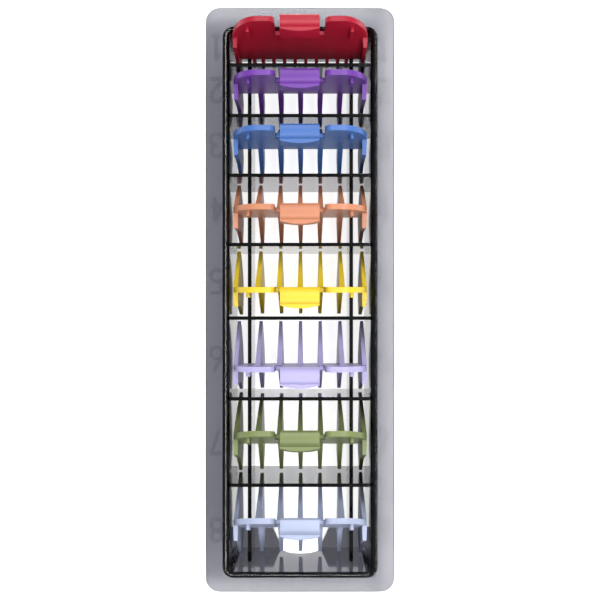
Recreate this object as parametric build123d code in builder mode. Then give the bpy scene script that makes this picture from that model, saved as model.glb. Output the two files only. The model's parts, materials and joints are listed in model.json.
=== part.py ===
"""Caddy of eight clipper guard combs: an open-bottomed tray with one bay for each comb.

Frame: origin at the bottom centre of the tray, +Z up out of the open top, +Y towards comb 1,
+X across the tray. All sizes are in millimetres. Each comb stands in its bay heel up, with its
frame plate resting on two long rails.
"""

import os
from math import atan2, cos, degrees, radians, sin

from build123d import *

# ---- tray ------------------------------------------------------------------------------
TRAY_DEPTH = 36.0
FLANGE_WIDTH = 69.5
FLANGE_LENGTH = 214.6
FLANGE_THICK = 2.0
FLANGE_CORNER = 5.3
FLANGE_ROUND = 0.6  # rounding of the flange's outer edge
WELL_HALF_WIDTH = 26.0  # inner face of each side wall
WELL_UPPER_Y = 98.5  # inner face of the end wall beside comb 1
WELL_LOWER_Y = -100.2  # inner face of the end wall beside comb 8
WELL_CORNER = 1.8
MOUTH_ROUND = 1.6  # rounding of the well's mouth, over the top of its walls
SIDE_WALL = 2.6
END_WALL = 2.2
DIVIDER_THICK = 1.3
DIVIDERS_Y = (86.2, 67.6, 45.7, 20.3, -6.7, -36.3, -68.0)
RAIL_X = 19.5
RAIL_THICK = 1.45
RAIL_TOP = 21.6
STRIP_THICK = 2.0  # floor strip along the end wall beside comb 8
STRIP_WIDTH = 8.0
NOTCH_MOUTH = 22.7  # finger notch in the strip, at the strip's free edge
NOTCH_THROAT = 15.5  # and where it becomes an arch through the end wall
ARCH_TOP = 10.5

# ---- raised numerals beside each bay ---------------------------------------------------
NUMERAL_X = 30.5
NUMERAL_TOP = 4.2  # half of a numeral's height
NUMERAL_HALF = 2.0  # half of its width
NUMERAL_STROKE = 1.3
NUMERAL_RISE = 0.25

# ---- guard combs: x across, u from the heel to the teeth's tips, v towards the scalp ----
COMB_HALF_WIDTH = 24.6
PLATE_THICK = 2.0
PLATE_LENGTH = 24.4
FINE_PLATE_LENGTH = 27.4  # the finest comb has a longer plate
PLATE_GAP = 0.05  # clearance of the plate's front edge over the rails
SLOT_OUTER_X = 9.0
LOBE_FLAT_X = 15.0  # each lobe's heel edge is straight from the slot to here
LOBE_DEPTH = 13.0
LOBE_CORNER = 2.4
NIB_X = 18.7
NIB_U = 4.0
NIB_CORNER = 0.5
NIB_WIDTH = 1.4
NIB_LENGTH = 6.0
NIB_HEIGHT = 1.8
FIN_PITCH = 7.65
FIN_THICK = 2.0
FIN_EDGE = 1.2  # a tooth's thickness at its scalp edge and at its tip
FIN_START_U = 6.0
FIN_LATCH_GAP = 2.5  # the middle teeth start this far in front of the latch's hinge
FIN_RAMP = 3.6  # a tooth's cutting edge leaves the plate over this length
SIDE_FIN_THICK = 1.7
FINE_X = (2.05, 6.15, 10.25, 14.35, 17.7)  # the finest comb has twice as many, thinner teeth
FINE_THICK = 1.25
NOSE_U = 39.5
NOSE_LENGTH = 3.6  # the nose's arc passes this far behind its end
NOSE_FULLNESS = 0.58  # and at this share of the tooth's height
TIP_ROUND = 0.7
TIP_U = 38.5
CHEEK_DROP = 5.3  # the outer teeth reach this far past the blade face
CHEEK_FRONT_U = 27.0
CHEEK_START_U = 11.0

# ---- latch: the springy tongue in the middle of each heel ------------------------------
LATCH_WIDTH = 14.0
LATCH_FACE = 1.9  # thickness of the thumb face at its edges
LATCH_HOLLOW = 0.8  # how far the thumb face is dished
LATCH_HOLLOW_V = -1.4  # where the dish is deepest
LATCH_ROUND = 0.8
LATCH_HEEL_U = -2.0
LATCH_DROP = 5.5
LATCH_BOW = 1.1  # the lower edge bows down by this much in its middle
LEDGE_OUT = 1.1
LEDGE_HEIGHT = 1.5
LIP_REACH = 3.4
LIP_THICK = 1.5
LIP_SCOOP = 8.4  # radius of the scoop in the lip's front edge
LIP_SCOOP_U = 6.6  # and how far its centre stands from that edge
HINGE_U = 9.5
HINGE_CLEARANCE = 0.15

# comb number: (apex height, apex u, tip drop, tilt in degrees, Y of the blade face at the heel)
COMBS = {
    1: (3.0, 29.0, 2.4, 10.4, 97.6),
    2: (5.6, 26.0, 9.5, 0.0, 79.55),
    3: (8.6, 26.5, 9.5, 4.0, 59.9),
    4: (12.8, 27.0, 9.5, 0.0, 31.9),
    5: (15.7, 27.5, 9.4, -2.4, 2.3),
    6: (18.2, 28.0, 9.2, 0.0, -26.0),
    7: (19.6, 30.0, 9.2, 14.5, -48.75),
    8: (20.7, 30.5, 9.1, 17.0, -79.8),
}


# ---- tray pieces -----------------------------------------------------------------------
def well_outline(grow_x=0.0, grow_y=0.0):
    """Outline of the well, or of its wall's outer face when grown by the wall's thickness."""
    with Locations((0, (WELL_UPPER_Y + WELL_LOWER_Y) / 2)):
        RectangleRounded(
            2 * (WELL_HALF_WIDTH + grow_x),
            WELL_UPPER_Y - WELL_LOWER_Y + 2 * grow_y,
            WELL_CORNER + min(grow_x, grow_y),
        )


def stroke(start, end):
    """One straight stroke of a numeral, with round ends."""
    line = Edge.make_line(start, end)
    turn = degrees(atan2(end[1] - start[1], end[0] - start[0]))
    with Locations(Location(line.center(), (0, 0, turn))):
        SlotCenterToCenter(line.length, NUMERAL_STROKE)


def bow(centre_y, radius, start, sweep):
    """One curved stroke of a numeral, with round ends."""
    with BuildLine(mode=Mode.PRIVATE) as path:
        CenterArc((0, centre_y), radius, start, sweep)
    SlotArc(path.edges()[0], NUMERAL_STROKE)


def ring(centre_y, radius):
    """One closed round stroke of a numeral."""
    with Locations((0, centre_y)):
        Circle(radius + NUMERAL_STROKE / 2)
        Circle(radius - NUMERAL_STROKE / 2, mode=Mode.SUBTRACT)


def numeral(digit):
    """A plain numeral about its own centre, in straight strokes and bows."""
    top, foot, half = NUMERAL_TOP, -NUMERAL_TOP, NUMERAL_HALF
    upper_y, upper_r = top - half, half
    lower_r = half + 0.15
    lower_y = foot + lower_r
    if digit == 1:
        stroke((-0.9, 2.9), (0.3, top))
        stroke((0.3, top), (0.3, foot))
        stroke((-0.9, foot), (1.5, foot))
    elif digit == 2:
        bow(upper_y, upper_r, 165, -200)
        stroke((upper_r * cos(radians(35)), upper_y - upper_r * sin(radians(35))), (-half, foot))
        stroke((-half, foot), (half, foot))
    elif digit == 3:
        bow(upper_y, upper_r, 150, -240)
        bow(lower_y, lower_r, 90, -240)
    elif digit == 4:
        stroke((0.8, foot), (0.8, top))
        stroke((0.8, top), (-half, -1.5))
        stroke((-half, -1.5), (half, -1.5))
    elif digit == 5:
        stroke((half - 0.3, top), (-1.4, top))
        stroke((-1.4, top), (-1.4, lower_y + lower_r * 0.73))
        bow(lower_y, lower_r, 133, -265)
    elif digit == 6:
        ring(lower_y, lower_r)
        stroke((-1.7, lower_y + 1.6), (0.9, top))
    elif digit == 7:
        stroke((-half, top), (half, top))
        stroke((half, top), (-0.6, foot))
    else:
        ring(upper_y, upper_r - 0.1)
        ring(lower_y, lower_r)


def bays():
    """Upper and lower limit in Y of each bay, from comb 1 to comb 8."""
    half = DIVIDER_THICK / 2
    upper = [WELL_UPPER_Y] + [y - half for y in DIVIDERS_Y]
    lower = [y + half for y in DIVIDERS_Y] + [WELL_LOWER_Y]
    return list(zip(upper, lower))


def build_rim():
    """Wall and flange as one ring, with the finger arch through the end beside comb 8."""
    arch_radius = NOTCH_THROAT / 2
    with BuildPart() as rim:
        with BuildSketch():
            well_outline(SIDE_WALL, END_WALL)
        extrude(amount=TRAY_DEPTH)
        with BuildSketch(Plane.XY.offset(TRAY_DEPTH - FLANGE_THICK)):
            RectangleRounded(FLANGE_WIDTH, FLANGE_LENGTH, FLANGE_CORNER)
        extrude(amount=FLANGE_THICK)
        with BuildSketch():
            well_outline()
        extrude(amount=TRAY_DEPTH, mode=Mode.SUBTRACT)
        outer_edge = rim.faces().sort_by(Axis.Z)[-1].outer_wire().edges()
        fillet(outer_edge, FLANGE_ROUND)
        mouth = rim.faces().sort_by(Axis.Z)[-1].inner_wires()[0].edges()
        fillet(mouth, MOUTH_ROUND)
        with BuildSketch(Plane.XZ.offset(-WELL_LOWER_Y - 1)):
            with Locations((0, ARCH_TOP - arch_radius)):
                Circle(arch_radius)
            with Locations((0, (ARCH_TOP - arch_radius) / 2)):
                Rectangle(NOTCH_THROAT, ARCH_TOP - arch_radius)
        extrude(amount=END_WALL + 2, mode=Mode.SUBTRACT)
    return rim.part


def numeral_spots(side, turn):
    """Where each bay's numeral stands on one side of the flange."""
    x = side * NUMERAL_X
    return [Location((x, (upper + lower) / 2, TRAY_DEPTH), (0, 0, turn)) for upper, lower in bays()]


def rim_piece(rim, label, low, high, numerals=()):
    """The part of the rim between two corners of a box, with raised numerals at the given spots."""
    size = [end - start for start, end in zip(low, high)]
    with BuildPart() as piece:
        add(rim)
        with Locations(low):
            Box(*size, align=(Align.MIN, Align.MIN, Align.MIN), mode=Mode.INTERSECT)
        for digit, spot in enumerate(numerals, start=1):
            with BuildSketch(Plane(spot)):
                numeral(digit)
            extrude(amount=NUMERAL_RISE)
    piece.part.label = label
    return piece.part


def part_rim(rim):
    """The rim as straight walls and flange strips, with the well's rounded corners apart."""
    side, end, inner = FLANGE_WIDTH / 2, FLANGE_LENGTH / 2, WELL_HALF_WIDTH
    flange_z = TRAY_DEPTH - FLANGE_THICK
    pieces = []
    numerals = {"flange_left": numeral_spots(-1, 180), "flange_right": numeral_spots(1, 0)}
    for kind, foot, top in (("wall", 0, flange_z), ("flange", flange_z, TRAY_DEPTH)):
        spans = {
            "upper": ((-side, WELL_UPPER_Y), (side, end)),
            "lower": ((-side, -end), (side, WELL_LOWER_Y)),
            "left": ((-side, WELL_LOWER_Y), (-inner, WELL_UPPER_Y)),
            "right": ((inner, WELL_LOWER_Y), (side, WELL_UPPER_Y)),
        }
        for place, (low, high) in spans.items():
            label = f"{kind}_{place}"
            spots = numerals.get(label, ())
            pieces.append(rim_piece(rim, label, (*low, foot), (*high, top), spots))
    well = ((-inner, WELL_LOWER_Y, 0), (inner, WELL_UPPER_Y, TRAY_DEPTH))
    pieces.append(rim_piece(rim, "well_corners", *well))
    return pieces


def build_divider(number, y):
    """Wall between two bays, slotted from below over the two rails."""
    with BuildPart() as divider:
        with BuildSketch(Plane.XZ.offset(-y - DIVIDER_THICK / 2)):
            with Locations((0, TRAY_DEPTH / 2)):
                Rectangle(2 * WELL_HALF_WIDTH, TRAY_DEPTH)
            with Locations((-RAIL_X, RAIL_TOP / 2), (RAIL_X, RAIL_TOP / 2)):
                Rectangle(RAIL_THICK, RAIL_TOP, mode=Mode.SUBTRACT)
        extrude(amount=DIVIDER_THICK)
    divider.part.label = f"divider_{number}_{number + 1}"
    return divider.part


def build_rail(name, x):
    """Long rib that carries the combs, standing on the floor strip at its lower end."""
    strip_edge = WELL_LOWER_Y + STRIP_WIDTH
    with BuildPart() as rail:
        with BuildSketch(Plane.YZ.offset(x - RAIL_THICK / 2)):
            with BuildLine():
                Polyline(
                    (strip_edge, 0),
                    (WELL_UPPER_Y, 0),
                    (WELL_UPPER_Y, RAIL_TOP),
                    (WELL_LOWER_Y, RAIL_TOP),
                    (WELL_LOWER_Y, STRIP_THICK),
                    (strip_edge, STRIP_THICK),
                    close=True,
                )
            make_face()
        extrude(amount=RAIL_THICK)
    rail.part.label = name
    return rail.part


def build_floor_strip():
    """Narrow floor under comb 8, with the finger notch that leads to the arch."""
    edge = WELL_LOWER_Y + STRIP_WIDTH
    with BuildPart() as strip:
        with BuildSketch():
            well_outline()
            with Locations((0, edge)):
                Rectangle(
                    2 * WELL_HALF_WIDTH,
                    WELL_UPPER_Y - edge,
                    align=(Align.CENTER, Align.MIN),
                    mode=Mode.SUBTRACT,
                )
            with BuildLine():
                Polyline(
                    (-NOTCH_MOUTH / 2, edge),
                    (NOTCH_MOUTH / 2, edge),
                    (NOTCH_THROAT / 2, WELL_LOWER_Y),
                    (-NOTCH_THROAT / 2, WELL_LOWER_Y),
                    close=True,
                )
            make_face(mode=Mode.SUBTRACT)
        extrude(amount=STRIP_THICK)
    strip.part.label = "floor_strip"
    return strip.part


# ---- comb axes -------------------------------------------------------------------------
def comb_axes(tilt, heel_y, plate):
    """A comb's blade face as a plane: local x across, local y along u, local z along v."""
    lean = radians(tilt)
    front_corner = plate * cos(lean) + max(0.0, PLATE_THICK * sin(lean))
    origin = (0, heel_y, RAIL_TOP + PLATE_GAP + front_corner)
    return Plane(origin=origin, x_dir=(1, 0, 0), z_dir=(0, cos(lean), -sin(lean)))


def side_plane(axes, x):
    """The plane across the comb at x: local x along u, local y along v, normal along +X."""
    return Plane(origin=axes.from_local_coords(Vector(x, 0, 0)), x_dir=axes.y_dir, z_dir=axes.x_dir)


def section_plane(axes, x):
    """The plane square to u at the heel: local x across (reversed), local y along v."""
    return Plane(origin=axes.from_local_coords(Vector(x, 0, 0)), x_dir=-axes.x_dir, z_dir=axes.y_dir)


# ---- comb body -------------------------------------------------------------------------
def build_fin(axes, x, thick, plate, apex, drop, start_u, cheek=False):
    """One tooth, thickest where it crosses the frame plate and thinner at both of its edges."""
    apex_v, apex_u = apex
    mid_plate = PLATE_THICK / 2
    with BuildPart() as fin:
        with BuildSketch(side_plane(axes, x)) as outline:
            with BuildLine():
                Polyline((start_u, mid_plate), (start_u, PLATE_THICK), (apex_u, apex_v))
                ThreePointArc((apex_u, apex_v), (NOSE_U - NOSE_LENGTH, apex_v * NOSE_FULLNESS), (NOSE_U, 0))
                Line((NOSE_U, 0), (TIP_U, -drop))
                if cheek:
                    Polyline(
                        (TIP_U, -drop),
                        (CHEEK_FRONT_U, -CHEEK_DROP),
                        (start_u + 2, -CHEEK_DROP),
                        (start_u, mid_plate),
                    )
                else:
                    Polyline(
                        (TIP_U, -drop),
                        (plate + FIN_RAMP, -1.0),
                        (plate, 0),
                        (plate - 1, mid_plate),
                        (start_u, mid_plate),
                    )
            make_face()
            tip = outline.vertices().sort_by(Axis.Y)[0]
            fillet(tip, TIP_ROUND)
        extrude(amount=thick / 2, both=True)
        half, edge = thick / 2, FIN_EDGE / 2
        with BuildSketch(section_plane(axes, x)):
            with BuildLine():
                Polyline(
                    (-half, -1.0),
                    (-half, PLATE_THICK),
                    (-edge, apex_v + 1),
                    (edge, apex_v + 1),
                    (half, PLATE_THICK),
                    (half, -1.0),
                    (edge, -drop - 1),
                    (-edge, -drop - 1),
                    close=True,
                )
            make_face()
        extrude(amount=NOSE_U + 5, mode=Mode.INTERSECT)
    return fin.part


def comb_fins(number, axes, plate, apex, drop):
    """All the teeth of one comb; those behind the latch start in front of its hinge."""
    side_x = COMB_HALF_WIDTH - SIDE_FIN_THICK / 2
    if number == 1:
        inner = [side * x for x in FINE_X for side in (-1, 1)]
        thick = FINE_THICK
    else:
        inner = [FIN_PITCH * i for i in (-2, -1, 0, 1, 2)]
        thick = FIN_THICK
    fins = []
    for x in inner:
        start_u = HINGE_U + FIN_LATCH_GAP if abs(x) < SLOT_OUTER_X + 1 else FIN_START_U
        fins.append(build_fin(axes, x, thick, plate, apex, drop, start_u))
    for x in (-side_x, side_x):
        fins.append(build_fin(axes, x, SIDE_FIN_THICK, plate, apex, drop, CHEEK_START_U, cheek=True))
    return fins


def build_comb(number, axes, plate, apex, drop):
    """Frame plate with its two heel lobes, the stop nibs under them and all the teeth."""
    fins = comb_fins(number, axes, plate, apex, drop)
    with BuildPart() as comb:
        with BuildSketch(axes) as outline:
            with BuildLine():
                Polyline((0, HINGE_U), (SLOT_OUTER_X, HINGE_U), (SLOT_OUTER_X, 0), (LOBE_FLAT_X, 0))
                EllipticalCenterArc(
                    (LOBE_FLAT_X, LOBE_DEPTH),
                    COMB_HALF_WIDTH - LOBE_FLAT_X,
                    LOBE_DEPTH,
                    start_angle=270,
                    arc_size=90,
                )
                Polyline(
                    (COMB_HALF_WIDTH, LOBE_DEPTH),
                    (COMB_HALF_WIDTH, plate),
                    (0, plate),
                    (0, HINGE_U),
                )
            make_face()
            mirror(about=Plane.YZ)
            heel_corners = outline.vertices().filter_by(
                lambda v: abs(abs(v.X) - SLOT_OUTER_X) < 0.01 and abs(v.Y) < 0.01
            )
            fillet(heel_corners, LOBE_CORNER)
        extrude(amount=PLATE_THICK)
        with BuildSketch(side_plane(axes, 0)):
            with Locations((HINGE_U, PLATE_THICK / 2)):
                Circle(PLATE_THICK / 2 + HINGE_CLEARANCE)
        extrude(amount=SLOT_OUTER_X, both=True, mode=Mode.SUBTRACT)
        with BuildSketch(axes):
            with Locations((-NIB_X, NIB_U + NIB_LENGTH / 2), (NIB_X, NIB_U + NIB_LENGTH / 2)):
                RectangleRounded(NIB_WIDTH, NIB_LENGTH, NIB_CORNER)
        extrude(amount=-NIB_HEIGHT)
        for fin in fins:
            add(fin)
    comb.part.label = f"guard_{number}_body"
    return comb.part


# ---- comb latch ------------------------------------------------------------------------
def build_latch(number, axes):
    """Springy tongue: leaf, thumb face with its ledge, and the hooked lip that holds a blade."""
    inner_u = LATCH_HEEL_U + LATCH_FACE
    lip_v = -LATCH_DROP + LIP_THICK
    ledge_v = -LATCH_DROP + LEDGE_HEIGHT
    with BuildPart() as latch:
        with BuildSketch(side_plane(axes, 0)):
            with BuildLine():
                Polyline(
                    (HINGE_U, 0),
                    (HINGE_U, PLATE_THICK),
                    (LATCH_HEEL_U + LATCH_ROUND, PLATE_THICK),
                    (LATCH_HEEL_U, PLATE_THICK - LATCH_ROUND),
                )
                ThreePointArc(
                    (LATCH_HEEL_U, PLATE_THICK - LATCH_ROUND),
                    (LATCH_HEEL_U + LATCH_HOLLOW, LATCH_HOLLOW_V),
                    (LATCH_HEEL_U, ledge_v),
                )
                Polyline(
                    (LATCH_HEEL_U, ledge_v),
                    (LATCH_HEEL_U - LEDGE_OUT, ledge_v),
                    (LATCH_HEEL_U - LEDGE_OUT, -LATCH_DROP),
                    (inner_u + LIP_REACH, -LATCH_DROP),
                    (inner_u + LIP_REACH, lip_v),
                    (inner_u, lip_v),
                    (inner_u, 0),
                    (HINGE_U, 0),
                )
            make_face()
            with Locations((HINGE_U, PLATE_THICK / 2)):
                Circle(PLATE_THICK / 2)
        extrude(amount=LATCH_WIDTH / 2, both=True)
        with BuildSketch(axes.offset(-LATCH_DROP - 1)):
            with Locations((0, inner_u + LIP_REACH + LIP_SCOOP_U)):
                Circle(LIP_SCOOP)
        extrude(amount=LIP_THICK + 1, mode=Mode.SUBTRACT)
        half, bow_v = LATCH_WIDTH / 2, -LATCH_DROP + LATCH_BOW
        with BuildSketch(section_plane(axes, 0)):
            with BuildLine():
                Polyline((half, bow_v), (half, PLATE_THICK), (-half, PLATE_THICK), (-half, bow_v))
                ThreePointArc((-half, bow_v), (0, -LATCH_DROP), (half, bow_v))
            make_face()
        extrude(amount=NOSE_U, both=True, mode=Mode.INTERSECT)
    latch.part.label = f"guard_{number}_latch"
    return latch.part


def main():
    os.makedirs("parts", exist_ok=True)
    pieces = [*part_rim(build_rim()), build_floor_strip()]
    pieces += [build_rail("rail_left", -RAIL_X), build_rail("rail_right", RAIL_X)]
    pieces += [build_divider(i, y) for i, y in enumerate(DIVIDERS_Y, start=1)]
    for number, (apex_v, apex_u, drop, tilt, heel_y) in COMBS.items():
        plate = FINE_PLATE_LENGTH if number == 1 else PLATE_LENGTH
        axes = comb_axes(tilt, heel_y, plate)
        pieces.append(build_comb(number, axes, plate, (apex_v, apex_u), drop))
        pieces.append(build_latch(number, axes))
    for piece in pieces:
        export_step(piece, f"parts/{piece.label}.step")


main()
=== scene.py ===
"""Looks for a tray of eight clipper guard combs: smoke-tinted tray, coloured translucent combs."""

import json
import math

import bmesh
import bpy
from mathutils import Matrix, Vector


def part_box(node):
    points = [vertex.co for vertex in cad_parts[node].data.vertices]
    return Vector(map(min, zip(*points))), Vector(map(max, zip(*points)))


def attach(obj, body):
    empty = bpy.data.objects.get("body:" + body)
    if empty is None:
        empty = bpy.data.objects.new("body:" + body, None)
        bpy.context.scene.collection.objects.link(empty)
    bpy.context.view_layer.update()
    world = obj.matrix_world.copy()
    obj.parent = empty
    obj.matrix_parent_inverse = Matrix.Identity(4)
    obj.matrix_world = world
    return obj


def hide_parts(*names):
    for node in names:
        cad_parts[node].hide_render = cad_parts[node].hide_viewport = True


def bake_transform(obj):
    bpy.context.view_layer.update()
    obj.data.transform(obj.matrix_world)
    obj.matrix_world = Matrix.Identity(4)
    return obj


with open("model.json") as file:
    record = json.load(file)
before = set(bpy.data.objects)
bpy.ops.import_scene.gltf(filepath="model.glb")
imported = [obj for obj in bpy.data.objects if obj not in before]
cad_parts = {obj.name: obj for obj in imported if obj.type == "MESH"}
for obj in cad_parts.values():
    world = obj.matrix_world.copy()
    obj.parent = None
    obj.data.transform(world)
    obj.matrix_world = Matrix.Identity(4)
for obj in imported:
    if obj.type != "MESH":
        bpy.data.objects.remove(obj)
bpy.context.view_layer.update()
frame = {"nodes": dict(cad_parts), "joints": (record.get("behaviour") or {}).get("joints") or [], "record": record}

MM = 0.001
COMB_NUMBERS = range(1, 9)
SIDES = ("upper", "lower", "left", "right")
TRAY_NODES = [f"{kind}_{side}" for kind in ("wall", "flange") for side in SIDES]
TRAY_NODES += ["well_corners", "floor_strip", "rail_left", "rail_right"]
TRAY_NODES += [f"divider_{i}_{i + 1}" for i in range(1, 8)]

# ---- looks -----------------------------------------------------------------------------
SMOKE_TINT = (0.60, 0.60, 0.63, 1)  # the colour that the tray's plastic takes least light from
SMOKE_DENSITY = 2500.0  # per metre
TRAY_BEVEL = 0.22 * MM
COMB_BEVEL = 0.18 * MM
TRAY_ROUGHNESS = (0.05, 0.10)
HAZE_SCALE = 45.0  # this scale and the other noise scales are in cells per metre
SCUFF_SCALE = 1400.0
COMB_ROUGHNESS = (0.34, 0.42)
COMB_GLOSS = 0.28
FLOW_SCALE = 70.0
GRAIN_SCALE = 2600.0
WELD_DISTANCE = 0.002 * MM
FLEXURE_START = -0.7 * MM  # along the comb, from the latch's hinge line
FLEXURE_END = 1.4 * MM
FLEXURE_HALF = 1.02 * MM
FLEXURE_INSET = 0.2 * MM
FLEXURE_STEPS = 6
# comb number: (slot, colour, share of light let through)
COMB_LOOKS = {
    1: ("comb_red", (0.43, 0.010, 0.032), 0.30),
    2: ("comb_purple", (0.145, 0.040, 0.32), 0.20),
    3: ("comb_blue", (0.060, 0.150, 0.43), 0.20),
    4: ("comb_peach", (0.58, 0.235, 0.125), 0.22),
    5: ("comb_yellow", (0.76, 0.56, 0.035), 0.22),
    6: ("comb_lilac", (0.42, 0.39, 0.66), 0.22),
    7: ("comb_green", (0.185, 0.225, 0.085), 0.20),
    8: ("comb_ice_blue", (0.42, 0.47, 0.64), 0.28),
}

# ---- stage sizes, in metres ------------------------------------------------------------
SOFTBOX_HEIGHT = 0.94
SOFTBOX_POWER = 24.0  # watts per square metre
# softbox: (middle, size)
SOFTBOXES = {
    "softbox_right": ((0.32, 0), (0.42, 1.5)),
    "softbox_top": ((-0.16, 0.63), (0.52, 0.40)),
    "softbox_bottom": ((-0.16, -0.59), (0.52, 0.40)),
}
WORLD_LIGHT = 0.30
FLOOR_SIZE = 6
FLOOR_DROP = 0.0004  # how far the floor lies under the tray
FLOOR_GLOW = 0.86
CAMERA_PLACE = (2.9 * MM, -7.1 * MM, 338 * MM)
CAMERA_LENS = 49.4  # millimetres, on a sensor 36 mm wide
CAMERA_SHIFT = (-0.0133, 0.032)


# ---- materials -------------------------------------------------------------------------
def new_material(name):
    """An empty node material: its nodes, its links and its shader."""
    material = bpy.data.materials.new(name)
    material.use_nodes = True
    nodes = material.node_tree.nodes
    return material, nodes, material.node_tree.links, nodes["Principled BSDF"]


def noise(nodes, links, scale, detail=3.0):
    """Noise in the part's own coordinates, in cells per metre."""
    place = nodes.new("ShaderNodeTexCoord")
    texture = nodes.new("ShaderNodeTexNoise")
    texture.inputs["Scale"].default_value = scale
    texture.inputs["Detail"].default_value = detail
    links.new(place.outputs["Object"], texture.inputs["Vector"])
    return texture.outputs["Fac"]


def spread(nodes, links, value, low, high):
    """Maps noise onto the range from low to high."""
    mapped = nodes.new("ShaderNodeMapRange")
    mapped.inputs["From Min"].default_value = 0.3
    mapped.inputs["From Max"].default_value = 0.7
    mapped.inputs["To Min"].default_value = low
    mapped.inputs["To Max"].default_value = high
    links.new(value, mapped.inputs["Value"])
    return mapped.outputs["Result"]


def add_bump(nodes, links, shader, value, height):
    """Fine surface relief from a noise value."""
    bump = nodes.new("ShaderNodeBump")
    bump.inputs["Strength"].default_value = 0.25
    bump.inputs["Distance"].default_value = height
    links.new(value, bump.inputs["Height"])
    links.new(bump.outputs["Normal"], shader.inputs["Normal"])


def mottle(nodes, links, value, colour, change):
    """The colour, made a little darker and lighter by noise."""
    ramp = nodes.new("ShaderNodeValToRGB")
    ramp.color_ramp.elements[0].position = 0.3
    ramp.color_ramp.elements[1].position = 0.7
    for element, factor in zip(ramp.color_ramp.elements, (1 - change, 1 + change)):
        element.color = [min(1.0, channel * factor) for channel in colour[:3]] + [1]
    links.new(value, ramp.inputs["Fac"])
    return ramp.outputs["Color"]


def comb_plastic(name, colour, through):
    """Satin translucent plastic: flow marks in its tint, fine moulded grain, soft gloss."""
    material, nodes, links, shader = new_material(name)
    flow = noise(nodes, links, FLOW_SCALE, 2.0)
    grain = noise(nodes, links, GRAIN_SCALE, 2.0)
    links.new(mottle(nodes, links, flow, colour, 0.06), shader.inputs["Base Color"])
    links.new(spread(nodes, links, grain, *COMB_ROUGHNESS), shader.inputs["Roughness"])
    shader.inputs["Specular IOR Level"].default_value = COMB_GLOSS
    shader.inputs["Transmission Weight"].default_value = through
    shader.inputs["IOR"].default_value = 1.46
    add_bump(nodes, links, shader, grain, 0.0015 * MM)
    return material


def smoke_plastic():
    """Clear smoke-tinted plastic: dark where light has a long way to go, pale through a face."""
    material, nodes, links, shader = new_material("tray_smoke_plastic")
    haze = noise(nodes, links, HAZE_SCALE, 3.0)
    scuffs = noise(nodes, links, SCUFF_SCALE, 5.0)
    links.new(mottle(nodes, links, haze, (0.96, 0.96, 0.97), 0.02), shader.inputs["Base Color"])
    links.new(spread(nodes, links, scuffs, *TRAY_ROUGHNESS), shader.inputs["Roughness"])
    shader.inputs["Transmission Weight"].default_value = 1.0
    shader.inputs["IOR"].default_value = 1.49
    add_bump(nodes, links, shader, haze, 0.015 * MM)
    absorption = nodes.new("ShaderNodeVolumeAbsorption")
    absorption.inputs["Color"].default_value = SMOKE_TINT
    absorption.inputs["Density"].default_value = SMOKE_DENSITY
    links.new(absorption.outputs["Volume"], nodes["Material Output"].inputs["Volume"])
    return material


def paint(piece, material):
    """Gives every face of a piece one material."""
    piece.data.materials.clear()
    piece.data.materials.append(material)


def soften_edges(piece, width):
    """Rounds a piece's sharp edges, as a moulding's are."""
    bevel = piece.modifiers.new("edges", "BEVEL")
    bevel.width = width
    bevel.segments = 2
    bevel.limit_method = "ANGLE"
    bevel.angle_limit = math.radians(40)
    bevel.harden_normals = True


# ---- tray ------------------------------------------------------------------------------
def copy_node(node):
    """A loose copy of a CAD node, with shared corners welded."""
    piece = bpy.data.objects.new(f"{node}_shape", frame["nodes"][node].data.copy())
    bpy.context.scene.collection.objects.link(piece)
    weld = piece.modifiers.new("weld", "WELD")
    weld.merge_threshold = WELD_DISTANCE
    return piece


def apply_modifiers(piece):
    """Turns a piece's modifiers into its own mesh."""
    depsgraph = bpy.context.evaluated_depsgraph_get()
    mesh = bpy.data.meshes.new_from_object(piece.evaluated_get(depsgraph))
    piece.modifiers.clear()
    piece.data = mesh


def build_tray():
    """The tray as the one moulding it is, with no faces left inside it where its walls meet."""
    shapes = [copy_node(node) for node in TRAY_NODES]
    for shape in shapes:
        apply_modifiers(shape)
    tray = shapes[0]
    for other in shapes[1:]:
        union = tray.modifiers.new("union", "BOOLEAN")
        union.operation = "UNION"
        union.solver = "EXACT"
        union.object = other
        apply_modifiers(tray)
        bpy.data.objects.remove(other)
    tray.name = "tray_moulding"
    soften_edges(tray, TRAY_BEVEL)
    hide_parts(*TRAY_NODES)
    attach(tray, "tray")
    return tray


# ---- latch roots -----------------------------------------------------------------------
def comb_directions(number):
    """A comb's own axes from its blade seat: towards the teeth's tips, and towards the scalp."""
    mounts = frame["record"]["mounts"]
    seat = next(mount for mount in mounts if mount["name"] == f"blade_seat_{number}")
    along = -Vector(seat["axis"]).normalized()
    return along, Vector((1, 0, 0)).cross(along)


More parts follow.
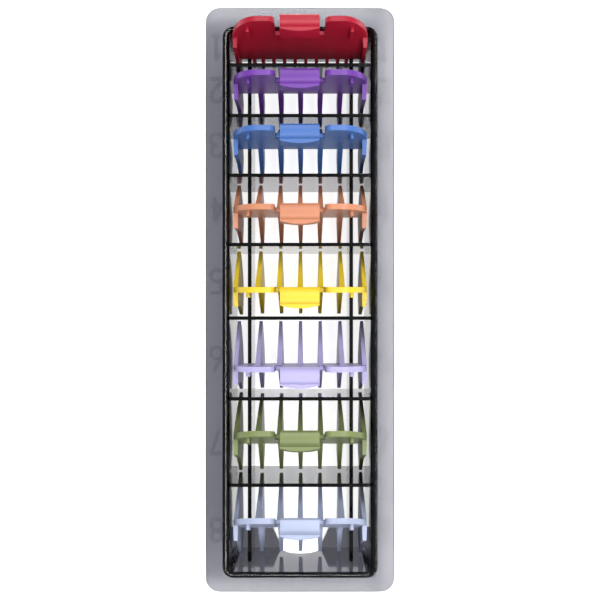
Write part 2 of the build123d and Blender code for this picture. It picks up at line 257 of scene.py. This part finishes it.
def build_flexure(number, plastic):
    """Short block of plastic that carries a latch's leaf into its comb."""
    joint = next(j for j in frame["joints"] if j["name"] == f"guard_{number}_latch_flex")
    pivot = Vector(joint["pos_m"])
    along, across = comb_directions(number)
    latch_low, latch_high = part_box(f"guard_{number}_latch")
    half_width = (latch_high.x - latch_low.x) / 2 - FLEXURE_INSET
    mesh = bmesh.new()
    rings = []
    for step in range(FLEXURE_STEPS + 1):
        middle = pivot + along * (FLEXURE_START + (FLEXURE_END - FLEXURE_START) * step / FLEXURE_STEPS)
        corners = [(-1, -1), (1, -1), (1, 1), (-1, 1)]
        offsets = [Vector((half_width * x, 0, 0)) + across * (FLEXURE_HALF * v) for x, v in corners]
        rings.append([mesh.verts.new(middle + offset) for offset in offsets])
    for ring, following in zip(rings, rings[1:]):
        for i in range(4):
            mesh.faces.new((ring[i], ring[(i + 1) % 4], following[(i + 1) % 4], following[i]))
    mesh.faces.new(list(reversed(rings[0])))
    mesh.faces.new(rings[-1])
    bmesh.ops.recalc_face_normals(mesh, faces=mesh.faces)
    data = bpy.data.meshes.new(f"guard_{number}_flexure")
    mesh.to_mesh(data)
    mesh.free()
    flexure = bpy.data.objects.new(f"guard_{number}_flexure", data)
    bpy.context.scene.collection.objects.link(flexure)
    paint(flexure, plastic)
    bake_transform(flexure)


# ---- stage -----------------------------------------------------------------------------
def build_floor():
    """Pale, softly glowing floor, as on a light table."""
    bpy.ops.mesh.primitive_plane_add(size=FLOOR_SIZE, location=(0, 0, -FLOOR_DROP))
    floor = bpy.context.active_object
    floor.name = "floor"
    material, nodes, links, shader = new_material("pale_floor")
    shader.inputs["Base Color"].default_value = (0.92, 0.92, 0.92, 1)
    shader.inputs["Roughness"].default_value = 0.8
    shader.inputs["Emission Color"].default_value = (1, 1, 1, 1)
    shader.inputs["Emission Strength"].default_value = FLOOR_GLOW
    paint(floor, material)


def add_softbox(name, middle, size):
    """Rectangular light facing straight down, at the softboxes' height."""
    light = bpy.data.lights.new(name, "AREA")
    light.shape = "RECTANGLE"
    light.size, light.size_y = size
    light.energy = SOFTBOX_POWER * size[0] * size[1]
    lamp = bpy.data.objects.new(name, light)
    lamp.location = (*middle, SOFTBOX_HEIGHT)
    bpy.context.scene.collection.objects.link(lamp)


def light_scene():
    """Softboxes overhead to the right, top and bottom, with none over the left, and dim surroundings."""
    world = bpy.data.worlds.new("studio")
    world.use_nodes = True
    world.node_tree.nodes["Background"].inputs["Color"].default_value = (0.96, 0.97, 1, 1)
    world.node_tree.nodes["Background"].inputs["Strength"].default_value = WORLD_LIGHT
    bpy.context.scene.world = world
    for name, (middle, size) in SOFTBOXES.items():
        add_softbox(name, middle, size)
    bpy.context.scene.view_settings.view_transform = "Standard"


def add_camera():
    """Straight down on the tray, a little to one side of its middle."""
    camera = bpy.data.cameras.new("camera")
    camera.sensor_width = 36
    camera.lens = CAMERA_LENS
    camera.shift_x, camera.shift_y = CAMERA_SHIFT
    camera.clip_start = 0.01
    eye = bpy.data.objects.new("camera", camera)
    eye.location = CAMERA_PLACE
    bpy.context.scene.collection.objects.link(eye)
    bpy.context.scene.camera = eye


# ---- making ----------------------------------------------------------------------------
add_camera()
light_scene()
build_floor()
paint(build_tray(), smoke_plastic())
for number in COMB_NUMBERS:
    slot, colour, through = COMB_LOOKS[number]
    plastic = comb_plastic(f"{slot}_plastic", colour, through)
    for node in (f"guard_{number}_body", f"guard_{number}_latch"):
        piece = frame["nodes"][node]
        paint(piece, plastic)
        soften_edges(piece, COMB_BEVEL)
    build_flexure(number, plastic)
